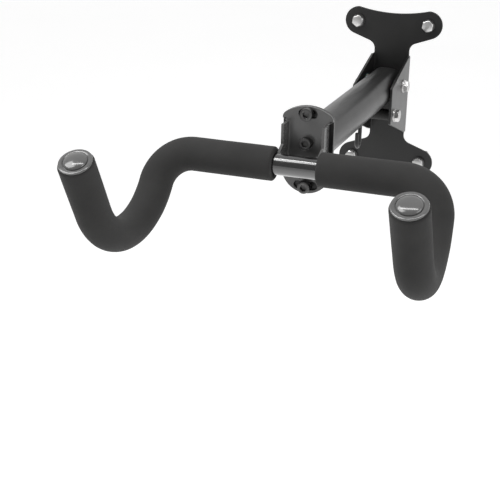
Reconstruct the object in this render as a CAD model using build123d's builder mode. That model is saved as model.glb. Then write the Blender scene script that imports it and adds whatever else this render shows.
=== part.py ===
from build123d import *
import os
from math import acos, cos, radians, sin, tan

# Bicycle wall rack: a stamped wall bracket, a round arm that folds up about a
# cross bolt, a plate on the arm's end, and a tilting cradle with two foam
# covered hooks.  Millimetres.  The origin is the centre of the wall bolt
# pattern on the wall plane: +X to the right, -Y out from the wall, +Z up.

os.makedirs("parts", exist_ok=True)

# ------------------------------------------------------- driving dimensions
# Wall bracket: one sheet with a lobe at each corner and two ears bent forward
bolt_span_x = 90.0          # wall bolt spacing, across
bolt_span_z = 178.0         # wall bolt spacing, up and down
sheet = 3.0                 # bracket sheet
lobe_radius = 17.5          # rounding about each wall bolt
shoulder_angle = 20.0       # slope of the shoulders, degrees
neck_inset = 2.5            # the neck's side, inside the ears' outer faces
neck_fillet = 11.0          # inside corner where a shoulder meets the neck
top_dip = 5.5               # how far the end edges curve in between lobes
ear_side_gap = 1.0          # inner face of each ear to the arm
ear_neck_gap = 12.7         # end of the ears' root to the corner of the neck
ear_past_stop = 16.5        # front edge of the ears, past the stop bolt
ear_over_arm = 8.5          # top of the ears' front edge, above the arm's axis
ear_under_stop = 8.2        # bottom of the ears' front edge, below the stop bolt
ear_corner = 3.0            # rounding of the ears' front corners
bend_outer = 5.0            # outside radius of the ear bends
relief_radius = 2.2         # round relief at the ends of each bend

# Arm: round tube with a nose rounded about the fold pivot
arm_radius = 21.0
arm_wall = 2.5
pivot_reach = 35.0          # fold pivot, from the wall
arm_height = 17.0           # arm axis and fold pivot, above the origin
arm_front = 345.0           # front end of the tube, from the wall
stop_reach = 75.0           # stop bolt, from the wall
stop_gap = 0.3              # arm to stop sleeve, in use

# Fasteners, M8 throughout
thread_radius = 4.0
hole_gap = 0.2              # radial, bolt in a clearance hole
hex_flats = 13.0
hex_height = 5.5
nut_height = 6.5
nut_collar_radius = 6.0     # locking collar on the nuts
nut_collar = 1.5
washer_radius = 8.0
washer_thick = 1.6
socket_head_radius = 6.5
socket_head_height = 8.0
socket_flats = 6.0
socket_depth = 4.0
bolt_chamfer = 0.8          # heads' crowns and thread ends
running_gap = 0.05          # radial, on pins that turn in bores
bolt_proud = 2.0            # thread showing past each nut and the end plate
wall_screw_length = 50.0    # screw thread beyond the wall plane
wall_screw_point = 6.0      # pointed end of that thread
wall_screw_tip = 0.8        # radius left at the point
wall_screw_neck = 0.4       # the plain neck's radius, less than the thread's

# Bushes and sleeves
bush_radius = 7.0
slip_thick = 0.75           # nylon slip washers beside the arm
slip_radius = 11.0
slip_gap = 0.05
stop_sleeve_radius = 7.0

# Arm end plate and tilt plate share one outline about the tilt pivot
tilt_rise = 5.0             # tilt pivot, above the arm's axis
plate_half = 26.8
plate_top = 37.5            # crown above the pivot
plate_shoulder = 28.0       # where the crown arc starts, above the pivot
plate_corner = 7.0          # rounding where the crown meets the sides
plate_bottom = 54.0         # lowest point below the pivot
end_plate_thick = 4.0
tilt_plate_thick = 3.0
upper_clamp = 30.5          # clamp bolt radii about the pivot
lower_clamp = 46.0
tilt_limit = 10.0           # degrees each way
slot_spare = 0.6            # extra slot angle beyond the limit, degrees
slot_gap = 0.3              # radial, clamp bolt in an arc slot
flange_outer = 22.8         # outer face of the saddle flanges
flange_thick = 3.0
flange_top = 21.0           # above the pivot
flange_bottom = 30.0        # below the pivot
flange_depth = 16.0         # front edge of a flange, from the tilt plate
flange_relief = 2.6         # notch above and below each flange
flange_inner_bend = 1.5     # inside radius of the flange bends
flange_outer_bend = 2.5     # outside radius of the flange bends
saddle_wrap = 8.0           # how far a flange laps past the tube's back
saddle_lip = 6.0            # flange metal above and below the tube
weld_gap = 0.05

# Hook tube and its sleeves
tube_radius = 11.0
tube_wall = 1.6
foam_wall = 6.4
foam_gap = 0.1              # foam bore over the tube
foam_edge = 1.8             # rounding of the sleeve ends
foam_inset = 0.6            # inner end of each sleeve, from a flange
hook_spacing = 305.0        # upright to upright, centre to centre
bar_stand = 30.0            # bar axis, in front of the tilt plate
bar_drop = 12.0             # bar axis, below the arm's axis
side_bend = 36.0            # centre-line radius, bar into leg
cradle_bend = 73.0          # centre-line radius, under the load
leg_drop = 58.0             # leg direction below the horizontal, degrees
leg_splay = 3.0             # legs spread apart as they go down, degrees
hook_lean = 28.0            # uprights lean out from the vertical, degrees
upright = 65.0              # straight end of each hook

# End caps: plug in the tube, flange over the foam's end, low dome
cap_plug_gap = 0.1
cap_plug_length = 14.0
cap_inset = 1.3             # flange edge, inside the foam's outside
cap_flange_thick = 2.0
cap_dome_over = 0.3         # dome edge, outside the tube's outside
cap_dome_rise = 3.2
cap_groove = 0.8

# Accessory hook under the arm
peg_radius = 2.4
peg_reach = 141.0           # back leg, from the wall
peg_bend = 6.0              # centre-line radius
peg_drop = 31.0             # lowest centre-line point, below the arm
peg_tip_drop = 13.0         # tip of the front leg, below the arm
peg_tip_round = 1.2

# --------------------------------------------------------- derived places
bolt_hole_radius = thread_radius + hole_gap
ear_inner = arm_radius + ear_side_gap
ear_outer = ear_inner + sheet
ear_reach = stop_reach + ear_past_stop
arm_underside = arm_height - arm_radius
stop_height = arm_underside - stop_gap - stop_sleeve_radius
ear_front_top = arm_height + ear_over_arm
ear_front_bottom = stop_height - ear_under_stop
tilt_height = arm_height + tilt_rise
end_plate_front = arm_front + end_plate_thick
tilt_plate_front = end_plate_front + tilt_plate_thick
bar_reach = tilt_plate_front + bar_stand
bar_height = arm_height - bar_drop
foam_radius = tube_radius + foam_gap + foam_wall
foam_start = flange_outer + foam_inset
bush_half = ear_inner - slip_thick - slip_gap
nut_stack = nut_height + nut_collar


def save(builder, name):
    """Label a finished piece and write its STEP file."""
    builder.part.label = name
    export_step(builder.part, f"parts/{name}.step")


# ============================================================ wall bracket
# Stamped sheet: four lobes, curved ends, a narrow neck, and an ear bent
# forward from each side of the middle.
neck_half = ear_outer - neck_inset
shoulder_x = bolt_span_x / 2 + lobe_radius * sin(radians(shoulder_angle))
shoulder_z = bolt_span_z / 2 - lobe_radius * cos(radians(shoulder_angle))
neck_z = shoulder_z - (shoulder_x - neck_half) * tan(radians(shoulder_angle))
ear_root_half = neck_z - ear_neck_gap
lobe_top = bolt_span_z / 2 + lobe_radius
dip_radius = ((bolt_span_x / 2) ** 2 + top_dip ** 2) / (2 * top_dip)

with BuildPart() as wall_bracket:
    with BuildSketch(Plane.XZ):
        Rectangle(2 * neck_half, 2 * neck_z)
        with BuildLine():
            Polyline(
                (0, ear_root_half), (neck_half, ear_root_half), (neck_half, neck_z),
                (shoulder_x, shoulder_z), (bolt_span_x / 2, bolt_span_z / 2),
                (bolt_span_x / 2, lobe_top), (0, lobe_top), (0, ear_root_half),
            )
        shoulder = make_face()
        mirror(shoulder, about=Plane.YZ)
        mirror(shoulder, about=Plane.XZ)
        mirror(mirror(shoulder, about=Plane.YZ, mode=Mode.PRIVATE), about=Plane.XZ)
        with GridLocations(bolt_span_x, bolt_span_z, 2, 2):
            Circle(lobe_radius)
        with Locations((0, lobe_top - top_dip + dip_radius), (0, top_dip - lobe_top - dip_radius)):
            Circle(dip_radius, mode=Mode.SUBTRACT)
    extrude(amount=sheet)
    neck_edges = [
        edge for edge in wall_bracket.edges().filter_by(Axis.Y)
        if abs(abs(edge.center().X) - neck_half) < 0.01 and abs(abs(edge.center().Z) - neck_z) < 0.01
    ]
    fillet(neck_edges, radius=neck_fillet)
    # ears: a channel bent from the sheet, with its ends cut to a slope
    with BuildSketch(Plane.XY.offset(-ear_root_half)) as channel:
        with Locations((0, -ear_reach / 2)):
            Rectangle(2 * ear_outer, ear_reach)
        fillet(channel.vertices().group_by(Axis.Y)[-1], radius=bend_outer)
        with BuildSketch(Plane.XY.offset(-ear_root_half), mode=Mode.SUBTRACT) as hollow:
            with Locations((0, -sheet - ear_reach / 2)):
                Rectangle(2 * ear_inner, ear_reach)
            fillet(hollow.vertices().group_by(Axis.Y)[-1], radius=bend_outer - sheet)
    extrude(amount=2 * ear_root_half)
    bend_reach = sheet + bend_outer
    for root_z, front_z in ((ear_root_half, ear_front_top), (-ear_root_half, ear_front_bottom)):
        with BuildSketch(Plane.YZ.offset(-ear_outer)):
            with BuildLine():
                Polyline(
                    (-bend_reach, root_z), (-ear_reach, front_z),
                    (-ear_reach, 2 * root_z), (-bend_reach, 2 * root_z), (-bend_reach, root_z),
                )
            make_face()
        extrude(amount=2 * ear_outer, mode=Mode.SUBTRACT)
    front_corners = [
        edge for edge in wall_bracket.edges().filter_by(Axis.X)
        if abs(edge.center().Y + ear_reach) < 0.01
    ]
    fillet(front_corners, radius=ear_corner)
    # reliefs, wall bolt holes and ear bolt holes
    with BuildSketch(Plane.XZ):
        with GridLocations(2 * ear_outer, 2 * (ear_root_half + relief_radius / 2), 2, 2):
            Circle(relief_radius)
    extrude(amount=sheet + bend_outer, mode=Mode.SUBTRACT)
    with BuildSketch(Plane.XZ):
        with GridLocations(bolt_span_x, bolt_span_z, 2, 2):
            Circle(bolt_hole_radius)
    extrude(amount=sheet, mode=Mode.SUBTRACT)
    with BuildSketch(Plane.YZ.offset(-ear_outer)):
        with Locations((-pivot_reach, arm_height), (-stop_reach, stop_height)):
            Circle(bolt_hole_radius)
    extrude(amount=2 * ear_outer, mode=Mode.SUBTRACT)
save(wall_bracket, "wall_bracket")

# Flat washers under the wall screws, and the four hex screws themselves: a
# plain neck through the sheet, then thread in the wall
with BuildPart() as wall_washers:
    with BuildSketch(Plane.XZ.offset(sheet)):
        with GridLocations(bolt_span_x, bolt_span_z, 2, 2):
            Circle(washer_radius)
            Circle(bolt_hole_radius, mode=Mode.SUBTRACT)
    extrude(amount=washer_thick)
save(wall_washers, "wall_washers")

with BuildPart() as wall_screws:
    with BuildSketch(Plane.XZ.offset(sheet + washer_thick)):
        with GridLocations(bolt_span_x, bolt_span_z, 2, 2):
            RegularPolygon(hex_flats / 2, 6, major_radius=False)
    extrude(amount=hex_height)
    chamfer(wall_screws.faces().sort_by(Axis.Y)[:4].edges(), length=bolt_chamfer)
    with BuildSketch(Plane.XZ):
        with GridLocations(bolt_span_x, bolt_span_z, 2, 2):
            Circle(thread_radius - wall_screw_neck)
    extrude(amount=sheet + washer_thick)
    with BuildSketch(Plane.XZ.offset(-wall_screw_length)):
        with GridLocations(bolt_span_x, bolt_span_z, 2, 2):
            Circle(thread_radius)
    extrude(amount=wall_screw_length)
    chamfer(wall_screws.faces().sort_by(Axis.Y)[-4:].edges(), length=wall_screw_point,
            length2=thread_radius - wall_screw_tip)
save(wall_screws, "wall_screws")


# ==================================================== cross bolts in the ears
# The fold pivot and the stop are the same bolt: hex head on the right ear,
# washer each side, lock nut on the left ear.
bolt_head_x = ear_outer + washer_thick
nut_face_x = -ear_outer - washer_thick
bolt_end_x = nut_face_x - nut_stack - bolt_proud
cross_bolts = {"pivot": (-pivot_reach, arm_height), "stop": (-stop_reach, stop_height)}

for role, spot in cross_bolts.items():
    with BuildPart() as cross_bolt:
        with BuildSketch(Plane.YZ.offset(bolt_head_x)):
            with Locations(spot):
                RegularPolygon(hex_flats / 2, 6, major_radius=False, rotation=30)
        extrude(amount=hex_height)
        chamfer(cross_bolt.faces().sort_by(Axis.X)[-1].edges(), length=bolt_chamfer)
        with BuildSketch(Plane.YZ.offset(bolt_end_x)):
            with Locations(spot):
                Circle(thread_radius)
        extrude(amount=bolt_head_x - bolt_end_x)
        chamfer(cross_bolt.faces().sort_by(Axis.X)[0].edges(), length=bolt_chamfer)
    save(cross_bolt, f"{role}_bolt")

    with BuildPart() as cross_washers:
        for face_x in (ear_outer, nut_face_x):
            with BuildSketch(Plane.YZ.offset(face_x)):
                with Locations(spot):
                    Circle(washer_radius)
                    Circle(bolt_hole_radius, mode=Mode.SUBTRACT)
            extrude(amount=washer_thick)
    save(cross_washers, f"{role}_washers")

    with BuildPart() as cross_nut:
        with BuildSketch(Plane.YZ.offset(nut_face_x - nut_height)):
            with Locations(spot):
                RegularPolygon(hex_flats / 2, 6, major_radius=False, rotation=30)
        extrude(amount=nut_height)
        with BuildSketch(Plane.YZ.offset(nut_face_x - nut_stack)):
            with Locations(spot):
                Circle(nut_collar_radius)
        extrude(amount=nut_collar)
        with BuildSketch(Plane.YZ.offset(nut_face_x - nut_stack)):
            with Locations(spot):
                Circle(thread_radius)
        extrude(amount=nut_stack, mode=Mode.SUBTRACT)
    save(cross_nut, f"{role}_nut")

# Rubber sleeve on the stop bolt, which the arm rests on in use
with BuildPart() as stop_sleeve:
    with BuildSketch(Plane.YZ.offset(-ear_inner)):
        with Locations(cross_bolts["stop"]):
            Circle(stop_sleeve_radius)
            Circle(thread_radius, mode=Mode.SUBTRACT)
    extrude(amount=2 * ear_inner)
save(stop_sleeve, "stop_sleeve")


# ===================================================================== arm
# Round tube along -Y with a nose rounded about the fold pivot, so that it
# can swing up in front of the wall bracket.
with BuildPart() as arm_tube:
    with BuildSketch(Plane.XZ):
        with Locations((0, arm_height)):
            Circle(arm_radius)
            Circle(arm_radius - arm_wall, mode=Mode.SUBTRACT)
    extrude(amount=arm_front)
    with BuildSketch(Plane.YZ.offset(-arm_radius)):
        with Locations((-pivot_reach / 2, arm_height)):
            Rectangle(pivot_reach, 4 * arm_radius)
        with Locations((-pivot_reach, arm_height)):
            Circle(arm_radius, mode=Mode.SUBTRACT)
    extrude(amount=2 * arm_radius, mode=Mode.SUBTRACT)
    with BuildSketch(Plane.YZ.offset(-arm_radius)):
        with Locations((-pivot_reach, arm_height)):
            Circle(bush_radius)
    extrude(amount=2 * arm_radius, mode=Mode.SUBTRACT)
save(arm_tube, "arm_tube")

# Steel bush welded across the tube: the pivot bolt turns in it
with BuildPart() as pivot_bush:
    with BuildSketch(Plane.YZ.offset(-bush_half)):
        with Locations(cross_bolts["pivot"]):
            Circle(bush_radius)
            Circle(thread_radius + running_gap, mode=Mode.SUBTRACT)
    extrude(amount=2 * bush_half)
save(pivot_bush, "pivot_bush")

# Nylon slip washers between the bush's ends and the ears
with BuildPart() as slip_washers:
    for face_x in (bush_half, -bush_half - slip_thick):
        with BuildSketch(Plane.YZ.offset(face_x)):
            with Locations(cross_bolts["pivot"]):
                Circle(slip_radius)
                Circle(thread_radius + running_gap, mode=Mode.SUBTRACT)
        extrude(amount=slip_thick)
save(slip_washers, "slip_washers")

# Accessory hook: bent rod welded under the tube, trimmed to its round wall
peg_root = arm_underside + arm_wall
peg_front = peg_reach + 2 * peg_bend
peg_low = arm_underside - peg_drop
peg_bend_z = peg_low + peg_bend
with BuildPart() as accessory_hook:
    with BuildLine():
        Line((0, -peg_reach, peg_root), (0, -peg_reach, peg_bend_z))
        ThreePointArc(
            (0, -peg_reach, peg_bend_z),
            (0, -peg_reach - peg_bend, peg_low),
            (0, -peg_front, peg_bend_z),
        )
        Line((0, -peg_front, peg_bend_z), (0, -peg_front, arm_underside - peg_tip_drop))
    with BuildSketch(Plane.XY.offset(peg_root)):
        with Locations((0, -peg_reach)):
            Circle(peg_radius)
    sweep()
    tip_rim = accessory_hook.edges().filter_by(GeomType.CIRCLE).group_by(Axis.Y)[0]
    fillet(tip_rim, radius=peg_tip_round)
    with BuildSketch(Plane.XZ.offset(peg_reach - 2 * peg_radius)):
        with Locations((0, arm_height)):
            Circle(arm_radius + weld_gap)
    extrude(amount=4 * peg_radius, mode=Mode.SUBTRACT)
save(accessory_hook, "accessory_hook")


# ============================================== end plate and tilt plate
def plate_outline():
    """Crowned top, straight sides and a round foot, about the tilt pivot."""
    crown_rise = plate_top - plate_shoulder
    crown_radius = (plate_half ** 2 + crown_rise ** 2) / (2 * crown_rise)
    foot_z = tilt_height - plate_bottom + plate_half
    shoulder_height = tilt_height + plate_shoulder
    with BuildSketch(mode=Mode.PRIVATE) as outline:
        with BuildLine():
            Line((-plate_half, foot_z), (-plate_half, shoulder_height))
            RadiusArc((-plate_half, shoulder_height), (plate_half, shoulder_height), crown_radius)
            Line((plate_half, shoulder_height), (plate_half, foot_z))
            RadiusArc((plate_half, foot_z), (-plate_half, foot_z), plate_half)
        make_face()
        fillet(outline.vertices().group_by(Axis.Y)[-1], radius=plate_corner)
    return outline.sketch


clamp_spots = ((0, tilt_height + upper_clamp), (0, tilt_height - lower_clamp))
tilt_spot = (0, tilt_height)

# Plate welded across the arm's front end, tapped for the three bolts
with BuildPart() as arm_end_plate:
    with BuildSketch(Plane.XZ.offset(arm_front)):
        add(plate_outline())
        with Locations(*clamp_spots, tilt_spot):
            Circle(thread_radius, mode=Mode.SUBTRACT)
    extrude(amount=end_plate_thick)
save(arm_end_plate, "arm_end_plate")

# Tilt plate: the same outline with two arc slots, and a flange bent forward
# on each side that cups the hook tube
flange_mid = tilt_height + (flange_top - flange_bottom) / 2
flange_height = flange_top + flange_bottom
flange_side = plate_half - flange_outer
slot_arc = tilt_limit + slot_spare
lip_half = tube_radius + saddle_lip
saddle_front = bar_reach - tube_radius + saddle_wrap

with BuildPart() as tilt_plate:
    with BuildSketch(Plane.XZ.offset(end_plate_front)):
        add(plate_outline())
        with GridLocations(2 * plate_half, 0, 2, 1):
            with Locations((0, flange_mid)):
                Rectangle(2 * flange_side, flange_height + 2 * flange_relief, mode=Mode.SUBTRACT)
        for radius, middle in ((upper_clamp, 90), (lower_clamp, -90)):
            with BuildLine(mode=Mode.PRIVATE) as slot_line:
                CenterArc(tilt_spot, radius, middle - slot_arc, 2 * slot_arc)
            SlotArc(slot_line.edges()[0], 2 * (thread_radius + slot_gap), mode=Mode.SUBTRACT)
    extrude(amount=tilt_plate_thick)
    with BuildSketch(Plane.YZ.offset(-flange_outer)):
        with BuildLine():
            Polyline(
                (-end_plate_front, tilt_height - flange_bottom),
                (-saddle_front + saddle_lip, tilt_height - flange_bottom),
                (-saddle_front, bar_height - lip_half + saddle_lip),
                (-saddle_front, bar_height + lip_half - saddle_lip),
                (-tilt_plate_front - flange_depth, bar_height + lip_half),
                (-tilt_plate_front - flange_depth, tilt_height + flange_top),
                (-end_plate_front, tilt_height + flange_top),
                (-end_plate_front, tilt_height - flange_bottom),
            )
        make_face()
        with Locations((-bar_reach, bar_height)):
            Circle(tube_radius + weld_gap, mode=Mode.SUBTRACT)
    extrude(amount=2 * flange_outer)
    with BuildSketch(Plane.XZ.offset(tilt_plate_front)):
        with Locations((0, flange_mid)):
            Rectangle(2 * (flange_outer - flange_thick), flange_height)
    extrude(amount=saddle_front, mode=Mode.SUBTRACT)
    with BuildSketch(Plane.XZ.offset(end_plate_front)):
        with Locations(tilt_spot):
            Circle(thread_radius + running_gap)
    extrude(amount=tilt_plate_thick, mode=Mode.SUBTRACT)
    inner_bends = [
        edge for edge in tilt_plate.edges().filter_by(Axis.Z)
        if abs(abs(edge.center().X) - flange_outer + flange_thick) < 0.01
        and abs(edge.center().Y + tilt_plate_front) < 0.01
    ]
    fillet(inner_bends, radius=flange_inner_bend)
    outer_bends = [
        edge for edge in tilt_plate.edges().filter_by(Axis.Z)
        if abs(abs(edge.center().X) - flange_outer) < 0.01
        and abs(edge.center().Y + end_plate_front) < 0.01
        and edge.length > flange_height / 2
    ]
    fillet(outer_bends, radius=flange_outer_bend)
save(tilt_plate, "tilt_plate")


# Socket head bolts screwed into the end plate: two clamps and the tilt pivot
for role, spots in (("clamp_bolts", clamp_spots), ("tilt_bolt", (tilt_spot,))):
    with BuildPart() as socket_bolts:
        with BuildSketch(Plane.XZ.offset(tilt_plate_front)):
            with Locations(*spots):
                Circle(socket_head_radius)
        extrude(amount=socket_head_height)
        head_fronts = socket_bolts.faces().sort_by(Axis.Y)[:len(spots)]
        chamfer(head_fronts.edges(), length=bolt_chamfer)
        with BuildSketch(Plane.XZ.offset(arm_front - bolt_proud)):
            with Locations(*spots):
                Circle(thread_radius)
        extrude(amount=tilt_plate_front - arm_front + bolt_proud)
        with BuildSketch(Plane.XZ.offset(tilt_plate_front + socket_head_height - socket_depth)):
            with Locations(*spots):
                RegularPolygon(socket_flats / 2, 6, major_radius=False)
        extrude(amount=socket_depth, mode=Mode.SUBTRACT)
    save(socket_bolts, role)


# ============================================== hook tube, sleeves and caps
bar_point = Vector(0, -bar_reach, bar_height)
leg_down = Vector(0, -cos(radians(leg_drop)), -sin(radians(leg_drop)))
up_dir = Vector(0, -sin(radians(hook_lean)), cos(radians(hook_lean)))
side_turn = radians(90 - leg_splay)
cradle_turn = acos(sin(side_turn) * leg_down.dot(up_dir))


def hook_points(side, start_x):
    """Bar start, then both ends and the middle of each bend, then the tip."""
    out = Vector(side, 0, 0)
    leg_dir = out * cos(side_turn) + leg_down * sin(side_turn)
    # towards the cradle's bend centre, square to the leg
    cradle_in = (up_dir - leg_dir * cos(cradle_turn)) * (1 / sin(cradle_turn))
    spread = cos(side_turn) * cradle_bend * tan(cradle_turn / 2)
    bend_x = hook_spacing / 2 - spread - side_bend * sin(side_turn)
    bend_1 = bar_point + out * bend_x
    centre_1 = bend_1 + leg_down * side_bend
    half = side_turn / 2
    middle_1 = centre_1 + (out * sin(half) - leg_down * cos(half)) * side_bend
    bend_2 = centre_1 + (out * sin(side_turn) - leg_down * cos(side_turn)) * side_bend
    centre_2 = bend_2 + cradle_in * cradle_bend
    half = cradle_turn / 2
    middle_2 = centre_2 + (leg_dir * sin(half) - cradle_in * cos(half)) * cradle_bend
    root = centre_2 + (leg_dir * sin(cradle_turn) - cradle_in * cos(cradle_turn)) * cradle_bend
    tip = root + up_dir * upright
    return bar_point + out * start_x, bend_1, middle_1, bend_2, middle_2, root, tip


def hook_lines(side, start_x):
    """Straight bar, side bend, cradle bend and upright of one hook."""
    start, bend_1, middle_1, bend_2, middle_2, root, tip = hook_points(side, start_x)
    Line(start, bend_1)
    ThreePointArc(bend_1, middle_1, bend_2)
    ThreePointArc(bend_2, middle_2, root)
    Line(root, tip)


# One tube bent into both hooks: each half is swept from the middle
with BuildPart() as hook_tube:
    for side in (-1, 1):
        with BuildLine():
            hook_lines(side, 0)
        with BuildSketch(Plane(origin=bar_point, z_dir=(side, 0, 0))):
            Circle(tube_radius)
            Circle(tube_radius - tube_wall, mode=Mode.SUBTRACT)
        sweep()
save(hook_tube, "hook_tube")

plug_radius = tube_radius - tube_wall - cap_plug_gap
cap_flange_radius = foam_radius - cap_inset
dome_radius = tube_radius + cap_dome_over
groove_bottom = cap_flange_thick - cap_groove

for side, hand in ((-1, "left"), (1, "right")):
    start, *bends, tip = hook_points(side, foam_start)
    with BuildPart() as foam_sleeve:
        with BuildLine():
            hook_lines(side, foam_start)
        with BuildSketch(Plane(origin=start, z_dir=(side, 0, 0))):
            Circle(foam_radius)
            Circle(tube_radius + foam_gap, mode=Mode.SUBTRACT)
        sweep()
        rims = [
            edge for edge in foam_sleeve.edges().filter_by(GeomType.CIRCLE)
            if abs(edge.radius - foam_radius) < 0.01
            and min((edge.arc_center - tip).length, (edge.arc_center - start).length) < 0.01
        ]
        fillet(rims, radius=foam_edge)
    save(foam_sleeve, f"foam_sleeve_{hand}")

    # half section of the cap, turned about the upright's axis
    with BuildPart() as end_cap:
        with BuildSketch(Plane(origin=tip, x_dir=(1, 0, 0), z_dir=(0, -up_dir.Z, up_dir.Y))):
            with BuildLine():
                Polyline(
                    (0, -cap_plug_length),
                    (plug_radius, -cap_plug_length),
                    (plug_radius, 0),
                    (cap_flange_radius, 0),
                    (cap_flange_radius, cap_flange_thick),
                    (dome_radius + cap_groove, cap_flange_thick),
                    (dome_radius + cap_groove, groove_bottom),
                    (dome_radius, groove_bottom),
                    (dome_radius, cap_flange_thick),
                )
                SagittaArc(
                    (dome_radius, cap_flange_thick), (-dome_radius, cap_flange_thick), -cap_dome_rise
                )
                Line((-dome_radius, cap_flange_thick), (0, -cap_plug_length))
            make_face()
            with Locations((-cap_flange_radius, 0)):
                Rectangle(2 * cap_flange_radius, 4 * cap_plug_length, mode=Mode.SUBTRACT)
        revolve(axis=Axis(tip, up_dir))
    save(end_cap, f"end_cap_{hand}")
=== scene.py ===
from math import acos, ceil, cos, pi, radians, sin, sqrt, tan, tau

import bmesh
import bpy
from mathutils import Matrix, Vector
from mathutils.bvhtree import BVHTree


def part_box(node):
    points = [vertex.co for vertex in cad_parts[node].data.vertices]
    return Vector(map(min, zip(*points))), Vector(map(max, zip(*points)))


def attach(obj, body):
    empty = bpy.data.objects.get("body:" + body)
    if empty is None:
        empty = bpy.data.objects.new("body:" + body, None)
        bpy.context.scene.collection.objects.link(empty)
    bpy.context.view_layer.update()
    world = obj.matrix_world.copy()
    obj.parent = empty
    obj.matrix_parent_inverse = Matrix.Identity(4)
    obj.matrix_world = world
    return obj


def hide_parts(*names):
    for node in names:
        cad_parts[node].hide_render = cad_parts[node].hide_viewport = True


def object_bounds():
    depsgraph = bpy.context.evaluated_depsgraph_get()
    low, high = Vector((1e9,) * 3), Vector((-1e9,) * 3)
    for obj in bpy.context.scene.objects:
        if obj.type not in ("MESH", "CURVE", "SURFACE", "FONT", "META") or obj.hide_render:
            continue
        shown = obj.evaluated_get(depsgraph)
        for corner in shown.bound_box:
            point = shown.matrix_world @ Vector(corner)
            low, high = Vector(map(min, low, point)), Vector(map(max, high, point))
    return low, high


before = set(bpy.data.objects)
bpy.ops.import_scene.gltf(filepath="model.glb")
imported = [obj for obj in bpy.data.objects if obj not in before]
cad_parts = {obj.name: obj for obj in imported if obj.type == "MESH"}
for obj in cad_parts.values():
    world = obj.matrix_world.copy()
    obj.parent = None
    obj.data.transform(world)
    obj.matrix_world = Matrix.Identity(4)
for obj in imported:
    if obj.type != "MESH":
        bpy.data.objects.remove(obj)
cad_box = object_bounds()

# ------------------------------------------------------------ wall bracket
# One stamped sheet of 3 mm steel: four lobes for the wall screws and two ears
# bent forward for the arm. Pressed, deburred, then powder coated satin black,
# so every cut edge is slightly round and the coat has a fine orange peel.
mm = 0.001
scene = bpy.context.scene
shelf = scene.collection


class Wire:
    """One output of a node tree. Python arithmetic on it adds Math nodes."""

    def __init__(self, recipe, output):
        self.recipe, self.output = recipe, output

    def math(self, operation, *values):
        return self.recipe.add("ShaderNodeMath", {"operation": operation}, dict(enumerate(values)))

    def __add__(self, other):
        return self.math("ADD", self, other)

    def __sub__(self, other):
        return self.math("SUBTRACT", self, other)

    def __rsub__(self, other):
        return self.math("SUBTRACT", other, self)

    def __mul__(self, other):
        return self.math("MULTIPLY", self, other)

    __radd__ = __add__

    def ramp(self, low, high):
        """0 below low, 1 above high, smooth between."""
        return self.recipe.add(
            "ShaderNodeMapRange", {"interpolation_type": "SMOOTHSTEP"},
            {"Value": self, "From Min": low, "From Max": high},
        )

    def blend(self, low_colour, high_colour):
        """One colour where this is 0 and the other where it is 1."""
        return self.recipe.add(
            "ShaderNodeMix", {"data_type": "RGBA"}, {0: self, 6: low_colour, 7: high_colour}, out=2
        )


class Recipe:
    """A node tree that is written as expressions."""

    def __init__(self, tree):
        self.tree = tree

    def add(self, kind, settings=None, inputs=None, out=0):
        node = self.tree.nodes.new(kind)
        for name, value in (settings or {}).items():
            setattr(node, name, value)
        for name, value in (inputs or {}).items():
            if isinstance(value, Wire):
                self.tree.links.new(value.output, node.inputs[name])
            elif value is not None:
                node.inputs[name].default_value = value
        return Wire(self, node.outputs[out])


class Finish(Recipe):
    """A material: its own node tree around one Principled surface."""

    def __init__(self, name, **constants):
        self.material = bpy.data.materials.new(name)
        self.material.use_nodes = True
        super().__init__(self.material.node_tree)
        self.surface = self.tree.nodes["Principled BSDF"]
        self.place = self.add("ShaderNodeTexCoord", out="Object")
        for socket, value in constants.items():
            self.surface.inputs[socket.replace("_", " ")].default_value = value

    def noise(self, scale, detail=2.0, roughness=0.5, stretch=None):
        """Noise with that many blots to a metre, drawn out by a stretch along each axis."""
        place = self.place
        if stretch:
            place = self.add("ShaderNodeMapping", inputs={"Vector": place, "Scale": stretch})
        return self.add(
            "ShaderNodeTexNoise",
            inputs={"Vector": place, "Scale": scale, "Detail": detail, "Roughness": roughness},
        )

    def cells(self, scale):
        """How far the nearest cell's middle is, with that many cells to a metre."""
        return self.add("ShaderNodeTexVoronoi", inputs={"Vector": self.place, "Scale": scale})

    def rounded_edge(self):
        """1 on the faces that ease() made, 0 elsewhere."""
        return self.add("ShaderNodeAttribute", {"attribute_name": "eased"}, out="Fac")

    def bump(self, height, depth, strength=1.0, under=None):
        """A bent normal from a height, over another bump if there is one under it."""
        return self.add(
            "ShaderNodeBump",
            inputs={"Strength": strength, "Distance": depth, "Height": height, "Normal": under},
        )

    def drive(self, **sockets):
        """Links what varies over the surface, and gives back the finished material."""
        for socket, value in sockets.items():
            self.tree.links.new(value.output, self.surface.inputs[socket.replace("_", " ")])
        return self.material


def grey(level, warmth=0.0):
    """A grey that leans to red and away from blue by its warmth."""
    return (level * (1 + warmth), level, level * (1 - warmth), 1.0)


def powder_coat(name, shade, roughness, shine):
    """Satin powder coat: orange peel, faint clouds, and rubbed edges."""
    coat = Finish(name, Specular_IOR_Level=shine, Coat_Roughness=0.2)
    peel = coat.noise(1100.0, 1.0)
    clouds = coat.noise(28.0, 4.0, 0.6)
    chips = coat.noise(420.0, 5.0, 0.7)
    rubbed = coat.rounded_edge() * chips.ramp(0.52, 0.64)
    dust = coat.noise(2600.0, 1.0).ramp(0.66, 0.74) * 0.25
    darkest, lightest, rubbed_tone = grey(shade * 0.8), grey(shade * 1.5, 0.02), grey(0.09)
    tone = (clouds * 0.5 + dust).blend(darkest, lightest)
    return coat.drive(
        Base_Color=rubbed.blend(tone, rubbed_tone),
        Roughness=roughness + (clouds - 0.5) * 0.14 + rubbed * 0.08,
        Coat_Weight=0.12 - rubbed * 0.1,
        Normal=coat.bump(peel, 0.12 * mm, 0.3),
    )


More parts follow.
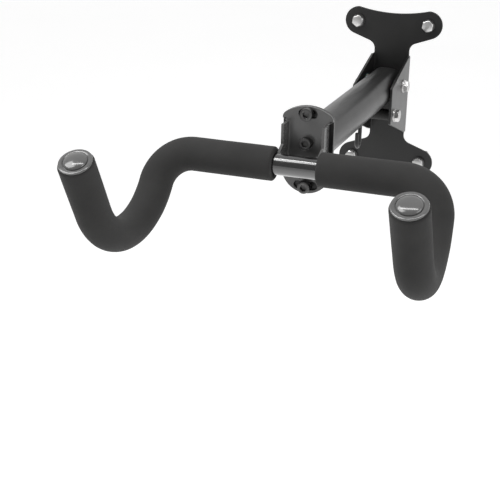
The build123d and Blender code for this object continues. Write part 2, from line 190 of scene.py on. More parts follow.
def cad_shape(node):
    """A welded copy of a CAD node, with its flat faces whole again."""
    same_spot, same_plane = 0.002 * mm, radians(0.4)
    shape = bmesh.new()
    shape.from_mesh(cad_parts[node].data)
    bmesh.ops.remove_doubles(shape, verts=shape.verts, dist=same_spot)
    bmesh.ops.dissolve_limit(
        shape, angle_limit=same_plane, verts=shape.verts, edges=shape.edges
    )
    return shape


def ease(shape, width, least_angle=28):
    """Rounds every edge that turns by more than that angle, and marks the faces it makes."""
    eased = shape.faces.layers.float.new("eased")
    before = BVHTree.FromBMesh(shape)
    sharp = [
        edge for edge in shape.edges
        if edge.is_manifold and edge.calc_face_angle() > radians(least_angle)
    ]
    bevelled = bmesh.ops.bevel(
        shape, geom=sharp, offset=width, offset_type="OFFSET", segments=2, profile=0.5,
        affect="EDGES", clamp_overlap=False,
    )
    for face in bevelled["faces"]:
        face[eased] = 1.0
    # where rounded edges crowd each other, a corner that shot out goes back on the part
    farthest = 0.8 * width
    for corner in shape.verts:
        spot, _, _, off = before.find_nearest(corner.co)
        if off > farthest:
            corner.co = spot
    return shape


def smoothed(name, shape, finish):
    """A mesh of the shape, smooth but for its corners and the borders of its rounded edges."""
    corner = radians(34)
    eased = shape.faces.layers.float.get("eased")
    for face in shape.faces:
        face.smooth = True
    for edge in shape.edges:
        if len(edge.link_faces) == 2:
            one, other = edge.link_faces
            border = eased is not None and one[eased] != other[eased]
            edge.smooth = not border and edge.calc_face_angle() < corner
    mesh = bpy.data.meshes.new(name)
    shape.to_mesh(mesh)
    shape.free()
    mesh.materials.append(finish)
    return mesh


def fit(name, mesh, body, slot, *nodes):
    """Puts a finished mesh in the scene as a piece that stands for CAD nodes."""
    piece = bpy.data.objects.new(name, mesh)
    shelf.objects.link(piece)
    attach(piece, body)
    if nodes:
        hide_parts(*nodes)
    return piece


def pressed(node, body, finish, slot, width):
    """A CAD part with its edges rounded and its finish on."""
    shape = ease(cad_shape(node), width)
    fit(node + "_finished", smoothed(node, shape, finish), body, slot, node)


def made(name, shape, finish, body, slot, node):
    """A shape built here that stands for a CAD node."""
    fit(name, smoothed(name, shape, finish), body, slot, node)


sheet_edge = 0.45 * mm
black_coat = powder_coat("satin_black_powder_coat", shade=0.012, roughness=0.33, shine=0.32)
pressed("wall_bracket", "bracket", black_coat, "black_coat", sheet_edge)

# -------------------------------------------------- wall washers and screws
# Four M8 hex lag screws, bright zinc plated, each through a flat washer in the
# same dark finish as the socket bolts. The heads are forged with a chamfered crown
# and stop at whatever angle they tighten at. A plain neck passes the sheet, a coarse thread holds.
hex_flats = 13 * mm
hex_corner = hex_flats / 2 / cos(pi / 6)
hex_crown = 0.47 * hex_flats
chamfer_slope = 0.58
head_height = 5.5 * mm
bolt_radius = 4 * mm
forged_edge = 0.12 * mm
forged_angle = 40


def zinc_plate(name, shade, roughness, streaks):
    """Electroplated zinc: metallic, cloudy, finely brushed by tumbling; rounded edges are painted
    lighter, a painted highlight.
    """
    zinc = Finish(name, Metallic=1.0)
    clouds = zinc.noise(240.0, 3.0, 0.6)
    grit = zinc.noise(2400.0, 2.0, 0.6)
    smooth_rim_and_highlight = zinc.rounded_edge()
    brightest = grey(min(shade * 1.5, 0.92), -0.01)
    # rounded edges are painted lighter: a painted highlight on every edge; they are also a little
    # smoother
    tone = (clouds * 0.6 + smooth_rim_and_highlight * 0.4).blend(grey(shade, 0.02), brightest)
    return zinc.drive(
        Base_Color=tone,
        Roughness=roughness + (grit - 0.5) * streaks - smooth_rim_and_highlight * 0.06,
        Normal=zinc.bump(grit, 0.05 * mm, 0.25),
    )


bright_zinc = zinc_plate("bright_zinc", shade=0.50, roughness=0.34, streaks=0.20)
dark_zinc = zinc_plate("black_zinc", shade=0.085, roughness=0.34, streaks=0.16)


def hexagon(flats):
    """The reach of a hexagon of those flats at an angle."""
    return lambda angle: flats / 2 / cos((angle + pi / 6) % (pi / 3) - pi / 6)


def turned(profile, spokes=72):
    """A shape about +Z from (radius, height) rings, each cut to an outline if it names one.
    A profile that ends where it began has a bore; any other starts and ends on the axis."""
    shape = bmesh.new()
    bored = profile[0] == profile[-1]
    rings = []
    for radius, height, *outline in profile[:-1] if bored else profile:
        angles = [tau * k / spokes for k in range(spokes)] if radius else [0.0]
        reach = [min([radius] + [shape_of(angle) for shape_of in outline]) for angle in angles]
        rings.append([
            shape.verts.new((r * cos(angle), r * sin(angle), height))
            for r, angle in zip(reach, angles)
        ])
    if bored:
        rings.append(rings[0])
    for below, above in zip(rings, rings[1:]):
        for k in range(spokes):
            corners = [below[k % len(below)], below[(k + 1) % len(below)],
                       above[(k + 1) % len(above)], above[k % len(above)]]
            shape.faces.new(list(dict.fromkeys(corners)))
    bmesh.ops.recalc_face_normals(shape, faces=shape.faces)
    return shape


def aimed(shape, start, direction, turn=0.0):
    """Stands a shape that was made about +Z on a point, along a direction."""
    aim = Vector(direction).to_track_quat("Z", "Y").to_matrix().to_4x4()
    shape.transform(Matrix.Translation(start) @ aim @ Matrix.Rotation(turn, 4, "Z"))
    return shape


def joined(*shapes):
    """Several shapes as one, each part still closed by itself."""
    whole = shapes[0]
    if not whole.faces.layers.float.get("eased"):
        whole.faces.layers.float.new("eased")
    for shape in shapes[1:]:
        spare = bpy.data.meshes.new("spare")
        shape.to_mesh(spare)
        shape.free()
        whole.from_mesh(spare)
        bpy.data.meshes.remove(spare)
    return whole


class Grower(Recipe):
    """A Geometry Nodes tree with named inputs, which is run once into a plain mesh."""

    def __init__(self, name, **kinds):
        super().__init__(bpy.data.node_groups.new(name, "GeometryNodeTree"))
        face = self.tree.interface
        self.sockets = {
            label: face.new_socket(label, in_out="INPUT", socket_type="NodeSocket" + kind)
            for label, kind in kinds.items()
        }
        face.new_socket("Geometry", in_out="OUTPUT", socket_type="NodeSocketGeometry")
        entry = self.tree.nodes.new("NodeGroupInput")
        self.given = {label: Wire(self, entry.outputs[label]) for label in kinds}

    def end(self, geometry):
        """Every tree closes the same way: real meshes in their finish."""
        real = self.add("GeometryNodeRealizeInstances", inputs={"Geometry": geometry})
        coated = self.add(
            "GeometryNodeSetMaterial", inputs={"Geometry": real, "Material": self.given["Finish"]}
        )
        leave = self.tree.nodes.new("NodeGroupOutput")
        self.tree.links.new(coated.output, leave.inputs["Geometry"])
        return self

    def grow(self, name, start=None, **values):
        """The mesh that the tree makes from a starting curve or mesh and its values."""
        holder = bpy.data.objects.new(name, start or bpy.data.meshes.new(name))
        shelf.objects.link(holder)
        modifier = holder.modifiers.new("grow", "NODES")
        modifier.node_group = self.tree
        for label, value in values.items():
            modifier[self.sockets[label].identifier] = value
        ready = holder.evaluated_get(bpy.context.evaluated_depsgraph_get())
        mesh = bpy.data.meshes.new_from_object(ready)
        mesh.name = name
        bpy.data.objects.remove(holder)
        return mesh


# a rolled thread: one ridge that winds up a shank
thread = Grower("thread_ridge", Pitch="Float", Depth="Float", Radius="Float", Length="Float",
                Finish="Material")
winding = thread.add("GeometryNodeCurveSpiral", inputs={
    "Resolution": 28,
    "Rotations": thread.given["Length"].math(
        "DIVIDE", thread.given["Length"], thread.given["Pitch"]),
    "Start Radius": thread.given["Radius"] - thread.given["Depth"],
    "End Radius": thread.given["Radius"] - thread.given["Depth"],
    "Height": thread.given["Length"],
})
ridge = thread.add("GeometryNodeCurvePrimitiveCircle", inputs={
    "Resolution": 4, "Radius": thread.given["Depth"]})
thread.end(thread.add("GeometryNodeCurveToMesh", inputs={
    "Curve": winding, "Profile Curve": ridge, "Fill Caps": True}))


def threaded(radius, depth, pitch, start, length, finish):
    """The ridge of a thread on a shank that runs down from start, for length."""
    shape = bmesh.new()
    shape.from_mesh(thread.grow(
        "ridge", Pitch=pitch, Depth=depth, Radius=radius, Length=length, Finish=finish))
    shape.transform(Matrix.Translation((0, 0, start - length)))
    return shape


def hex_head(shank):
    """A forged hex head with a chamfered crown, standing on its shank."""
    flats = hexagon(hex_flats)
    fall = (hex_corner - hex_crown) * chamfer_slope
    slope = [(hex_corner + (hex_crown - hex_corner) * t, head_height - fall * (1 - t), flats)
             for t in (0, 0.2, 0.4, 0.6, 0.8, 1)]
    head = turned([*shank, (hex_corner, 0, flats), *slope, (0, head_height)])
    return ease(head, forged_edge, forged_angle)


washer_low, washer_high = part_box("wall_washers")
screw_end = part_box("wall_screws")[1].y
washer_radius = 8 * mm
washer_bore = 4.2 * mm
washer_thick = washer_high.y - washer_low.y
span_x = washer_high.x - washer_low.x - 2 * washer_radius
span_z = washer_high.z - washer_low.z - 2 * washer_radius
shank_length = screw_end - washer_low.y
point_length = 6 * mm
neck_length = shank_length - screw_end
neck_step = 0.4 * mm
neck_radius = bolt_radius - neck_step
lag_depth = 0.75 * mm
lag_pitch = 3 * mm
thread_start = -0.3 * shank_length
thread_fade = 1 * mm


def flat_washer():
    """A punched washer: rolled over on the die side, square on the other."""
    soft = 0.3 * mm
    bend = soft * 0.3
    return turned([
        (washer_bore, 0), (washer_radius, 0), (washer_radius, washer_thick - soft),
        (washer_radius - bend, washer_thick - bend), (washer_radius - soft, washer_thick),
        (washer_bore + soft, washer_thick), (washer_bore, washer_thick - soft),
        (washer_bore, 0)])


lag_screw = joined(
    hex_head([
        (0, -shank_length), (bolt_radius - 2 * lag_depth, point_length - shank_length),
        (bolt_radius - 1.2 * lag_depth, thread_start), (bolt_radius, thread_start + thread_fade),
        (bolt_radius, -neck_length - neck_step), (neck_radius, -neck_length),
        (neck_radius, 0)]),
    threaded(bolt_radius, lag_depth, lag_pitch, thread_start,
             shank_length + thread_start - point_length, bright_zinc),
)

# the same fixing at the four corners of a rectangle, each at its own angle
corners = Grower("four_corners", Fixing="Object", Across="Float", Up="Float", Seed="Int",
                 Finish="Material")
spots = corners.add("GeometryNodeMeshGrid", inputs={
    "Size X": corners.given["Across"], "Size Y": corners.given["Up"],
    "Vertices X": 2, "Vertices Y": 2})
upright_spots = corners.add("GeometryNodeTransform", inputs={
    "Geometry": spots, "Rotation": (radians(90), 0, 0)})
chance = corners.add("FunctionNodeRandomValue", {"data_type": "FLOAT"}, {
    "Max": pi / 3, "Seed": corners.given["Seed"]}, out=1)
lean = corners.add("ShaderNodeCombineXYZ", inputs={"Y": chance})
corners.end(corners.add("GeometryNodeInstanceOnPoints", inputs={
    "Points": upright_spots,
    "Instance": corners.add(
        "GeometryNodeObjectInfo", inputs={"Object": corners.given["Fixing"]}, out="Geometry"),
    "Rotation": corners.add("FunctionNodeEulerToRotation", inputs={"Euler": lean}),
}))


def at_corners(name, shape, face_y, seed, finish, slot, node):
    """Four of one fixing on the bracket, standing on the plane at face_y."""
    pattern = bpy.data.objects.new(
        "pattern", smoothed("pattern", aimed(shape, (0, face_y, 0), (0, -1, 0)), finish))
    shelf.objects.link(pattern)
    mesh = corners.grow(name, Fixing=pattern, Across=span_x, Up=span_z, Seed=seed, Finish=finish)
    bpy.data.objects.remove(pattern)
    fit(name, mesh, "bracket", slot, node)


at_corners("wall_lag_screws", lag_screw, face_y=washer_low.y, seed=4, finish=bright_zinc,
           slot="zinc", node="wall_screws")
at_corners("wall_flat_washers", flat_washer(), face_y=washer_high.y, seed=2, finish=dark_zinc,
           slot="dark_zinc", node="wall_washers")

# ------------------------------------- cross bolts, washers, nuts and sleeve
# Two M8 bolts across the ears: the arm folds about the rear one and rests on
# the rubber sleeve of the front one. Bright zinc bolts and washers, with nuts
# that lock by a nylon ring rolled into their collar.
thread_depth = 0.35 * mm
thread_pitch = 1.25 * mm
thread_root = bolt_radius - 1.6 * thread_depth
thread_length = 16 * mm
tip_chamfer = 0.4 * mm
tip_length = 0.5 * mm
nut_height = 6.5 * mm
nut_bore = bolt_radius - 0.2 * mm
nut_chamfer = 0.7 * mm
collar_height = 1.5 * mm
collar_radius = 0.44 * hex_flats


def machine_bolt(length):
    """A hex bolt under its head: plain shank, then thread, with a chamfered end."""
    shank = [(0, -length), (thread_root - tip_chamfer, -length),
             (thread_root, tip_length - length), (thread_root, thread_length - length),
             (bolt_radius, thread_length + 0.5 * mm - length), (bolt_radius, 0)]
    return joined(hex_head(shank), threaded(
        bolt_radius, thread_depth, thread_pitch, thread_length - length,
        thread_length - 0.6 * mm, bright_zinc))


def lock_nut():
    """A chamfered hex nut with a rolled collar, standing on its clamping face."""
    flats = hexagon(hex_flats)
    top = nut_height + collar_height
    nut = turned([
        (nut_bore, 0), (0.46 * hex_flats, 0), (hex_corner, nut_chamfer, flats),
        (hex_corner, nut_height - nut_chamfer, flats), (hex_crown, nut_height),
        (collar_radius, nut_height + 0.1 * mm), (collar_radius, top - 0.8 * mm),
        (collar_radius - 0.4 * mm, top - 0.2 * mm), (collar_radius - 1.1 * mm, top),
        (nut_bore, top - 0.3 * mm), (nut_bore, 0)])
    return ease(nut, 0.1 * mm, forged_angle)


for role, wrench_angle in (("pivot", 17), ("stop", 41)):
    bolt_low, bolt_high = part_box(role + "_bolt")
    centre = (bolt_low + bolt_high) / 2
    ring_low, ring_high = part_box(role + "_washers")
    turn = radians(wrench_angle)
    bolt = aimed(machine_bolt(ring_high.x - bolt_low.x),
                 (ring_high.x, centre.y, centre.z), (1, 0, 0), turn)
    made(role + "_hex_bolt", bolt, bright_zinc, "bracket", "zinc", role + "_bolt")
    rings = joined(*(
        aimed(flat_washer(), (side * (ring_high.x - washer_thick), centre.y, centre.z),
              (side, 0, 0))
        for side in (1, -1)))
    made(role + "_flat_washers", rings, bright_zinc, "bracket", "zinc", role + "_washers")
    nut = aimed(lock_nut(), (ring_low.x, centre.y, centre.z), (-1, 0, 0), -turn)
    made(role + "_lock_nut", nut, bright_zinc, "bracket", "zinc", role + "_nut")

sleeve_low, sleeve_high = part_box("stop_sleeve")
sleeve_length = sleeve_high.x - sleeve_low.x
sleeve_radius = (sleeve_high.z - sleeve_low.z) / 2
sleeve_end = sleeve_radius - 0.6 * mm
rib_depth = 0.35 * mm
rib_rings = 41
rubber = Finish("black_rubber", Specular_IOR_Level=0.3)
bloom = rubber.noise(90.0, 4.0, 0.65)
black_rubber = rubber.drive(
    Base_Color=bloom.blend(grey(0.010), grey(0.026, 0.03)),
    Roughness=0.62 + bloom * 0.2,
    Normal=rubber.bump(rubber.noise(1500.0), 0.1 * mm, 0.4),
)
ribs = [
    (sleeve_radius - rib_depth * (1 - abs(sin(pi * k / 4))),
     sleeve_length * (k + 1) / (rib_rings + 1))
    for k in range(rib_rings)
]
stop_rubber = turned([
    (bolt_radius, 0), (sleeve_end, 0), *ribs, (sleeve_end, sleeve_length),
    (bolt_radius, sleeve_length), (bolt_radius, 0)])
aimed(stop_rubber, (sleeve_low.x, (sleeve_low.y + sleeve_high.y) / 2,
                    (sleeve_low.z + sleeve_high.z) / 2), (1, 0, 0))
made("stop_rubber_sleeve", stop_rubber, black_rubber, "bracket", "rubber", "stop_sleeve")

# ------------------------------------------------ arm tube, bush and washers
# 42 mm round tube with its wall end cut round about the pivot, coated like the
# bracket. A steel bush is let in across it, and a nylon washer at each end of
# the bush keeps the coat off the ears.
pressed("arm_tube", "arm", black_coat, "black_coat", 0.4 * mm)


def dressed(node, finish):
    """A CAD part that shows as it is, in its finish."""
    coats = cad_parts[node].data.materials
    coats.clear()
    coats.append(finish)


steel = Finish("turned_steel", Metallic=1.0)
tool_marks = steel.noise(900.0, 2.0, 0.5, stretch=(4.0, 1.0, 1.0))
dressed("pivot_bush", steel.drive(
    Base_Color=tool_marks.blend(grey(0.34), grey(0.52)),
    Roughness=0.28 + tool_marks * 0.2,
    Normal=steel.bump(tool_marks, 0.05 * mm, 0.4),
))

nylon = Finish("natural_nylon", Subsurface_Weight=0.25, Subsurface_Scale=0.004, IOR=1.53)
haze = nylon.noise(120.0, 3.0)
dressed("slip_washers", nylon.drive(
    Base_Color=haze.blend(grey(0.55, 0.04), grey(0.70, 0.02)),
    Roughness=0.38 + haze * 0.2,
))

# ------------------------------------------------- arm end plate and its weld
# A 4 mm plate with a crowned top and a round foot, fillet welded all round the
# tube's end before coating. The weld shows as a row of overlapping ripples.
pressed("arm_end_plate", "arm", black_coat, "black_coat", sheet_edge)

# a weld: one flat drop of metal after another along a seam
drop_step = 0.62    # from drop to drop, in drop radii
drop_height = 0.62  # against its width
weld = Grower("weld_seam", Seam="Geometry", Drop="Float", Step="Float", Seed="Int",
              Finish="Material")
stops = weld.add("GeometryNodeCurveToPoints", {"mode": "LENGTH"}, {
    "Curve": weld.given["Seam"], "Length": weld.given["Step"]})
drop = weld.add("GeometryNodeMeshUVSphere", inputs={
    "Segments": 14, "Rings": 9, "Radius": weld.given["Drop"]})
stops_turned = Wire(weld, stops.output.node.outputs["Rotation"])
size = weld.add("FunctionNodeRandomValue", {"data_type": "FLOAT"}, {
    "Min": 0.86, "Max": 1.0, "Seed": weld.given["Seed"]}, out=1)
drop_size = weld.add("ShaderNodeCombineXYZ", inputs={
    "X": size, "Y": size, "Z": size * drop_height})
drops = weld.add("GeometryNodeInstanceOnPoints", inputs={
    "Points": stops, "Instance": drop, "Rotation": stops_turned, "Scale": drop_size})
weld.end(weld.add("GeometryNodeSetShadeSmooth", inputs={"Geometry": drops}))


def seam(points, closed=False):
    """A welder's path through points."""
    path = bpy.data.curves.new("seam", "CURVE")
    path.dimensions = "3D"
    line = path.splines.new("POLY")
    line.points.add(len(points) - 1)
    for place, point in zip(line.points, points):
        place.co = (*point, 1.0)
    line.use_cyclic_u = closed
    return path


def welded(name, path, drop_radius, body, seed, finish, slot):
    """A finished weld bead along a path, on one body."""
    mesh = weld.grow(name, path, Drop=drop_radius, Step=drop_radius * drop_step, Seed=seed,
                     Finish=finish)
    fit(name, mesh, body, slot)


def ring_points(centre, radius, steps=96):
    """Points round a circle that faces along Y."""
    return [
        Vector(centre) + radius * Vector((cos(tau * k / steps), 0, sin(tau * k / steps)))
        for k in range(steps)
    ]


tube_low, tube_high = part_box("arm_tube")
arm_radius = (tube_high.x - tube_low.x) / 2
arm_middle = (tube_low.z + tube_high.z) / 2
end_bead = 1.9 * mm
tube_end = (0, tube_low.y + 0.3 * end_bead, arm_middle)
welded("end_plate_weld", seam(ring_points(tube_end, arm_radius + 0.25 * end_bead), closed=True),
       end_bead, "arm", seed=11, finish=black_coat, slot="black_coat")

# ------------------------------------------------ tilt plate and saddle welds
# A pressed plate of the same outline in a shinier coat, its lighter grey a
# painted reflection: two arc slots for the clamp bolts, and two flanges bent
# forward that cup the hook tube. The tube is welded into them.
# its grey is five times the black coat's: painted reflection of the bright room; its higher shine
# and lower roughness are real
graphite_coat = powder_coat("graphite_powder_coat", shade=0.060, roughness=0.24, shine=0.75)
pressed("tilt_plate", "cradle", graphite_coat, "graphite_coat", 0.4 * mm)

flange_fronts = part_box("tilt_plate")[0].y
tube_radius = 11 * mm
flange_outer = 22.8 * mm
flange_thick = 3 * mm
saddle_wrap = 8 * mm
bar_rise = 5 * mm
bar_middle = Vector((0, flange_fronts + saddle_wrap - tube_radius, bar_rise))
wrap_angle = acos((tube_radius - saddle_wrap) / tube_radius)
saddle_bead = 1.1 * mm
bead_proud = 0.2 * saddle_bead
hands = ((-1, "left"), (1, "right"))
for side, hand in hands:
    inner_face = side * (flange_outer - flange_thick - bead_proud)
    arc = [
        bar_middle + Vector((inner_face, 0, 0))
        + (tube_radius + bead_proud) * Vector((0, cos(turn), sin(turn)))
        for turn in (wrap_angle * (k / 20 - 1) for k in range(41))
    ]
    welded(f"saddle_weld_{hand}", seam(arc), saddle_bead, "cradle", seed=21 + side,
           finish=graphite_coat, slot="graphite_coat")

# ---------------------------------------------------- clamp and tilt bolts
# Three M8 socket head bolts in black zinc, with knurled heads and a hex socket,
# screwed into the end plate. Two clamp the plates together through the arc
# slots, and the cradle tilts about the middle one.
clamp_low, clamp_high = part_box("clamp_bolts")
tilt_low, tilt_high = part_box("tilt_bolt")
socket_radius = 6.5 * mm
socket_height = 8 * mm
key_flats = 6 * mm
key_corner = 3.46 * mm
key_depth = 4 * mm
knurl_cuts = 36
knurl_depth = 0.16 * mm
plate_front = clamp_low.y + socket_height
bolt_length = clamp_high.y - plate_front


def knurl(angle):
    """The reach of a knurled bolt head at an angle: shallow cuts all round."""
    return socket_radius - knurl_depth * (0.5 - 0.5 * cos(knurl_cuts * angle))


def socket_bolt(z, turn):
    """A bolt in place at a height: knurled head with a hex socket, and threaded shank."""
    key = hexagon(key_flats)
    floor = socket_height - key_depth
    head = turned([
        (0, floor - 0.8 * mm), (2.6 * mm, floor, key), (key_corner, floor, key),
        (key_corner, socket_height - 0.35 * mm, key), (3.8 * mm, socket_height),
        (5.75 * mm, socket_height), (6.2 * mm, socket_height - 0.2 * mm),
        (6.42 * mm, socket_height - 0.6 * mm), (socket_radius, socket_height - 1.1 * mm, knurl),
        (socket_radius, 0.9 * mm, knurl), (6.3 * mm, 0.4 * mm), (6.1 * mm, 0),
        (thread_root, 0), (thread_root, tip_length - bolt_length),
        (thread_root - tip_chamfer, -bolt_length), (0, -bolt_length)], spokes=4 * knurl_cuts)
    whole = joined(ease(head, 0.1 * mm, 42), threaded(
        bolt_radius, thread_depth, thread_pitch, -0.3 * mm, bolt_length - 0.9 * mm, dark_zinc))
    return aimed(whole, (0, plate_front, z), (0, -1, 0), radians(turn))


clamps = joined(socket_bolt(clamp_high.z - socket_radius, turn=11),
                socket_bolt(clamp_low.z + socket_radius, turn=38))
made("clamp_socket_bolts", clamps, dark_zinc, "arm", "dark_zinc", "clamp_bolts")
made("tilt_socket_bolt", socket_bolt((tilt_low.z + tilt_high.z) / 2, turn=23), dark_zinc,
     "arm", "dark_zinc", "tilt_bolt")

# ---------------------------------------------------------------- hook tube
# One 22 mm steel tube bent into both hooks, in gloss black enamel. Only the
# short bare stretch between the sleeves shows, and it mirrors the room.
gloss = Finish("gloss_black_enamel", Specular_IOR_Level=1.0, Coat_Roughness=0.03)
draw_lines = gloss.noise(1800.0, 2.0, 0.5, stretch=(0.03, 1.0, 1.0))
smears = gloss.noise(60.0, 4.0, 0.6)
gloss_black = gloss.drive(
    Base_Color=smears.blend(grey(0.003), grey(0.008)),
    Roughness=0.08 + smears * 0.08 + draw_lines * 0.04,
    Coat_Weight=1.0 - smears * 0.25,
    Normal=gloss.bump(draw_lines, 0.02 * mm, 0.08),
)
pressed("hook_tube", "cradle", gloss_black, "gloss_tube", 0.25 * mm)

# ------------------------------------------------------------- foam sleeves
# Closed cell foam, 6.5 mm thick, pushed on to each hook from its tip. Matte
# charcoal with a fine skin of pores. Its cut ends are soft and round, and its
# surface swells and dips a little along the way.
foam_radius = 17.5 * mm
foam_bore = 11.1 * mm
foam_edge = 2.2 * mm
foam_step = 2.2 * mm
foam_gap = 0.6 * mm
foam_start = flange_outer + foam_gap
hook_spacing = 305 * mm
side_bend = 36 * mm
cradle_bend = 73 * mm
leg_drop = radians(58)
side_turn = radians(87)
hook_lean = radians(28)
upright = 65 * mm
leg_down = Vector((0, -cos(leg_drop), -sin(leg_drop)))
rise = Vector((0, -sin(hook_lean), cos(hook_lean)))
cradle_turn = acos(sin(side_turn) * leg_down.dot(rise))


def hook_route(side):
    """Bar, side bend, cradle bend and upright of one hook: each stretch's length, and its
    point at any length."""
    out = Vector((side, 0, 0))
    leg = out * cos(side_turn) + leg_down * sin(side_turn)
    cradle_in = (rise - leg * cos(cradle_turn)) / sin(cradle_turn)
    spread = cos(side_turn) * cradle_bend * tan(cradle_turn / 2)
    start = bar_middle + out * foam_start
    bend = bar_middle + out * (hook_spacing / 2 - spread - side_bend * sin(side_turn))
    hub = bend + leg_down * side_bend
    drop_end = hub + side_bend * (out * sin(side_turn) - leg_down * cos(side_turn))
    cradle_hub = drop_end + cradle_in * cradle_bend
    stretches = [
        ((bend - start).length, lambda s: start + out * s),
        (side_bend * side_turn, lambda s: hub + side_bend * (
            out * sin(s / side_bend) - leg_down * cos(s / side_bend))),
        (cradle_bend * cradle_turn, lambda s: cradle_hub + cradle_bend * (
            leg * sin(s / cradle_bend) - cradle_in * cos(s / cradle_bend))),
    ]
    root = stretches[-1][1](stretches[-1][0])
    stretches.append((upright, lambda s: root + rise * s))
    return stretches


def along(stretches, s):
    """The point that lies s along the stretches."""
    for length, point in stretches[:-1]:
        if s <= length:
            return point(s)
        s -= length
    return stretches[-1][1](s)


def sleeve_path(side):
    """The sleeve's centre line, with its outside radius at each point."""
    stretches = hook_route(side)
    total = sum(length for length, _ in stretches)
    plain = total - 2 * foam_edge
    steps = ceil(plain / foam_step)
    cut_end = [(0.0, foam_bore)] + [
        (foam_edge * (1 - cos(turn)) + 0.02 * mm, foam_radius - foam_edge + foam_edge * sin(turn))
        for turn in (pi / 2 * k / 8 for k in range(9))
    ]
    rings = cut_end + [(foam_edge + plain * k / steps, foam_radius) for k in range(1, steps)]
    rings += [(total - s, radius) for s, radius in reversed(cut_end)]
    path = seam([along(stretches, s) for s, _ in rings])
    for place, (_, radius) in zip(path.splines[0].points, rings):
        place.radius = radius
    return path


skin = Grower("foam_sleeve", Path="Geometry", Bore="Float", Unevenness="Float",
              Finish="Material")
round_form = skin.add("GeometryNodeCurvePrimitiveCircle", inputs={"Resolution": 72, "Radius": 1.0})
outside = skin.add("GeometryNodeCurveToMesh", inputs={
    "Curve": skin.given["Path"], "Profile Curve": round_form,
    "Scale": skin.add("GeometryNodeInputRadius")})
swelling = skin.add("ShaderNodeTexNoise", inputs={"Scale": 34.0, "Detail": 2.0}) - 0.5
outward = skin.add("ShaderNodeVectorMath", {"operation": "SCALE"}, {
    0: skin.add("GeometryNodeInputNormal"), "Scale": swelling * skin.given["Unevenness"]})
outside = skin.add("GeometryNodeSetPosition", inputs={"Geometry": outside, "Offset": outward})
inside = skin.add("GeometryNodeCurveToMesh", inputs={
    "Curve": skin.given["Path"], "Profile Curve": round_form, "Scale": skin.given["Bore"]})
lining = skin.add("GeometryNodeFlipFaces", inputs={"Mesh": inside})
both = skin.add("GeometryNodeJoinGeometry", inputs={"Geometry": outside})
skin.tree.links.new(lining.output, both.output.node.inputs["Geometry"])
shut = skin.add("GeometryNodeMergeByDistance", inputs={"Geometry": both, "Distance": 0.3 * mm})
skin.end(skin.add("GeometryNodeSetShadeSmooth", inputs={"Geometry": shut}))

foam = Finish("charcoal_foam", Specular_IOR_Level=0.16, Sheen_Weight=0.06, Sheen_Roughness=0.6,
              Sheen_Tint=grey(0.5))
pores = foam.cells(1900.0)
fine_pores = foam.cells(4200.0)
handling = foam.noise(22.0, 4.0, 0.6)
pore_pits_and_shade = 1 - pores.ramp(0.0, 0.45) * 0.6 - fine_pores.ramp(0.0, 0.5) * 0.4
# the pores are painted darker than the skin round them: painted shade in the pores
charcoal_foam = foam.drive(
    Base_Color=(handling * 0.7 + pore_pits_and_shade * 0.3).blend(grey(0.030, 0.02), grey(0.013)),
    Roughness=0.74 + handling * 0.16,
    Normal=foam.bump(pore_pits_and_shade, 0.14 * mm, 0.5, foam.bump(foam.noise(260.0, 3.0), 0.3 * mm, 0.25)),
)

for side, hand in hands:
    sleeve = skin.grow(f"foam_{hand}", sleeve_path(side), Bore=foam_bore, Unevenness=0.5 * mm,
                       Finish=charcoal_foam)
    grip = fit(f"foam_grip_{hand}", sleeve, "cradle", "foam", f"foam_sleeve_{hand}")

# ----------------------------------------------------------------- end caps
# Moulded in glossy grey-black plastic: a plug grips the tube's bore, a flange
# covers the foam's end, and a low dome sits in a fine groove.
cap_plug = 9.3 * mm
cap_plug_length = 14 * mm
cap_flange = 16.2 * mm
cap_thick = 2 * mm
cap_dome = 11.3 * mm
cap_rise = 3.2 * mm
cap_groove = 0.8 * mm
cap_soft = 0.8 * mm
groove_edge = cap_dome + cap_groove
gloss_cap = Finish("gloss_cap_plastic", IOR=1.49, Coat_Roughness=0.08, Coat_Weight=0.35)
scuffs = gloss_cap.noise(500.0, 4.0, 0.7).ramp(0.55, 0.75)
flow = gloss_cap.noise(45.0, 3.0)
cap_plastic = gloss_cap.drive(
    Base_Color=flow.blend(grey(0.060), grey(0.095, 0.01)),
    Roughness=0.15 + scuffs * 0.14,
    Normal=gloss_cap.bump(flow, 0.05 * mm, 0.3),
)
dome = [
    (cap_dome * cos(turn), cap_thick + cap_rise * sin(turn))
    for turn in (pi / 24 * k for k in range(12))
]
for side, hand in hands:
    tip = hook_route(side)[-1][1](upright)
    cap = turned([
        (0, -cap_plug_length), (cap_plug - cap_soft, -cap_plug_length),
        (cap_plug, cap_soft - cap_plug_length), (cap_plug, 0),
        (cap_flange - 0.2 * mm, 0), (cap_flange, 0.3 * mm), (cap_flange, cap_thick - cap_soft),
        (cap_flange - 0.25 * mm, cap_thick - 0.25 * mm), (cap_flange - cap_soft, cap_thick),
        (groove_edge + 0.3 * mm, cap_thick), (groove_edge, cap_thick - 0.2 * mm),
        (groove_edge - 0.1 * mm, cap_thick - cap_groove), (cap_dome, cap_thick - cap_groove),
        *dome, (0, cap_thick + cap_rise)], spokes=96)
    made(f"domed_cap_{hand}", aimed(cap, tip, rise), cap_plastic, "cradle", "cap",
         f"end_cap_{hand}")

# ----------------------------------------------------------- accessory hook
# A bent rod just under 5 mm thick, for a helmet or a bag. It is welded on under
# the arm and coated with it.
pressed("accessory_hook", "arm", black_coat, "black_coat", 0.3 * mm)
peg_low, peg_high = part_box("accessory_hook")
peg_radius = (peg_high.x - peg_low.x) / 2
peg_bead = 0.9 * mm
bead_proud = 0.2 * peg_bead
foot_steps = 48
foot = []
for turn in (tau * k / foot_steps for k in range(foot_steps)):
    x = (peg_radius + bead_proud) * cos(turn)
    y = peg_high.y - peg_radius + (peg_radius + bead_proud) * sin(turn)
    foot.append(Vector((x, y, arm_middle - sqrt(arm_radius ** 2 - x ** 2) - bead_proud)))
welded("accessory_hook_weld", seam(foot, closed=True), peg_bead, "arm", seed=31,
       finish=black_coat, slot="black_coat")

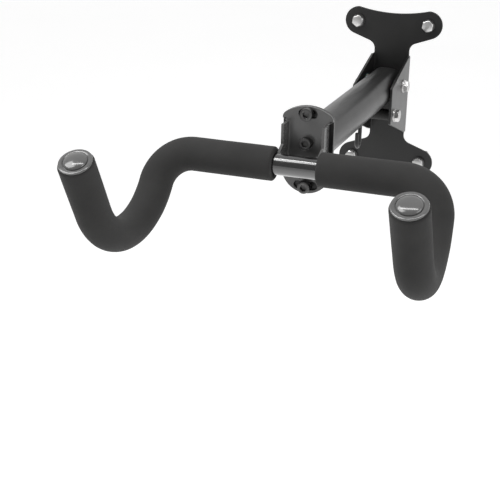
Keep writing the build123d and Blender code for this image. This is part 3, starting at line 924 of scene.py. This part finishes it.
# --------------------------------------------------- camera, light and floor
# The rack is seen from the right and above, as it hangs on its wall, over a
# plain pale floor that is far enough down to take no shadow.
azimuth, elevation, roll = radians(20.0), radians(20.6), radians(1.2)
looked_at = Vector((5.1 * mm, -528.6 * mm, -23.9 * mm))
distance = 1.0262
back = Vector((sin(azimuth) * cos(elevation), -cos(azimuth) * cos(elevation), sin(elevation)))
right = Vector((cos(azimuth), sin(azimuth), 0))
up = back.cross(right)
lens = bpy.data.cameras.new("camera")
lens.sensor_width = 36.0
lens.lens = 82.8
camera = bpy.data.objects.new("camera", lens)
shelf.objects.link(camera)
camera.matrix_world = Matrix.Translation(looked_at + back * distance) @ Matrix((
    right * cos(roll) + up * sin(roll), up * cos(roll) - right * sin(roll), back
)).transposed().to_4x4()
scene.camera = camera

# a room that is dim in front of the rack and bright behind it
room = bpy.data.worlds.new("studio")
room.use_nodes = True
walls = Recipe(room.node_tree)
facing = walls.add("ShaderNodeSeparateXYZ", inputs={
    "Vector": walls.add("ShaderNodeTexCoord", out="Generated")}, out="Y")
shade = facing.ramp(-0.7, 0.5).blend(grey(0.30), grey(0.85))
walls.tree.links.new(shade.output, walls.tree.nodes["Background"].inputs["Color"])
scene.world = room
scene.view_settings.view_transform = "Standard"


def softbox(name, place, target, width, height, watts):
    """A rectangular light at a place, facing a target."""
    lamp = bpy.data.lights.new(name, "AREA")
    lamp.shape = "RECTANGLE"
    lamp.size, lamp.size_y = width, height
    lamp.energy = watts
    holder = bpy.data.objects.new(name, lamp)
    shelf.objects.link(holder)
    aim = (Vector(place) - Vector(target)).to_track_quat("Z", "Y")
    holder.matrix_world = Matrix.Translation(place) @ aim.to_matrix().to_4x4()


middle = (cad_box[0] + cad_box[1]) / 2
softbox("key", (-1.4, -1.2, 1.7), middle, width=1.5, height=1.5, watts=46)
softbox("fill", (2.0, -0.9, 0.8), middle, width=1.5, height=1.5, watts=22)
softbox("strip", (0.0, -0.75, 1.6), middle, width=1.8, height=0.16, watts=12)

floor_size, floor_depth = 60, 1.2
floor_paint = Finish("pale_floor", Specular_IOR_Level=0.1, Emission_Strength=0.42)
mottle = floor_paint.noise(0.7, 3.0)
bpy.ops.mesh.primitive_plane_add(size=floor_size, location=(0, 0, -floor_depth))
studio_floor = bpy.context.object
studio_floor.name = "studio_floor"
studio_floor.data.materials.append(floor_paint.drive(
    Base_Color=mottle.blend(grey(0.86), grey(0.90)),
    Emission_Color=mottle.blend(grey(0.96), grey(1.0)),
))
